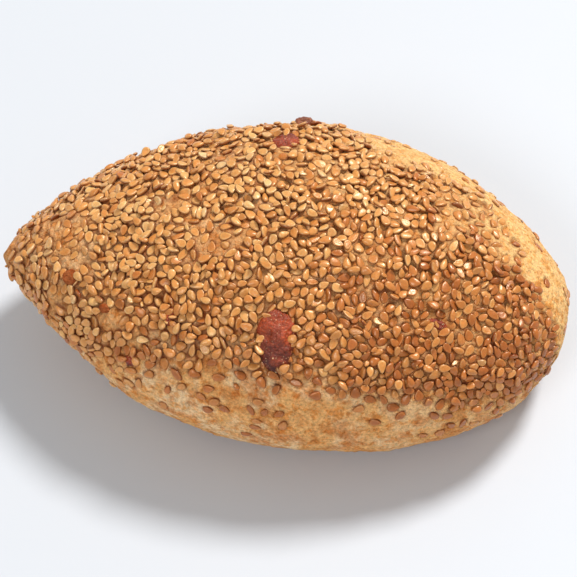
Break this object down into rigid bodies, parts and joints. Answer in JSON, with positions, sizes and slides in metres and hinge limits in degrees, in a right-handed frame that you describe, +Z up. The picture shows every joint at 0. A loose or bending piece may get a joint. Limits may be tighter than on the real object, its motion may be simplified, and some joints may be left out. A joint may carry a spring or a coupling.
{
  "type": "sesame bread roll",
  "caption": "Lemon-shaped baked bread roll with a crust thickly covered in sesame seeds, dried fruit pieces baked into it, and a flat base.",
  "frame": {"origin": "on the flat base, under the middle of the roll's box", "axes": "+X along the roll towards its blunt end, +Z up through the seeded top"},
  "size_m": [0.1336, 0.0819, 0.0521],
  "materials": {
    "crust": "baked crust, dry and faintly glossy",
    "dried_fruit": "wrinkled dried fruit, half glossy",
    "sesame": "toasted seeds, satin"
  },
  "bodies": {
    "root": {"roll": "crust", "fruit_front": "dried_fruit", "fruit_back": "dried_fruit", "fruit_crest": "dried_fruit", "fruit_left": "dried_fruit", "fruit_low_left": "dried_fruit", "fruit_right": "dried_fruit"}
  },
  "joints": []
}
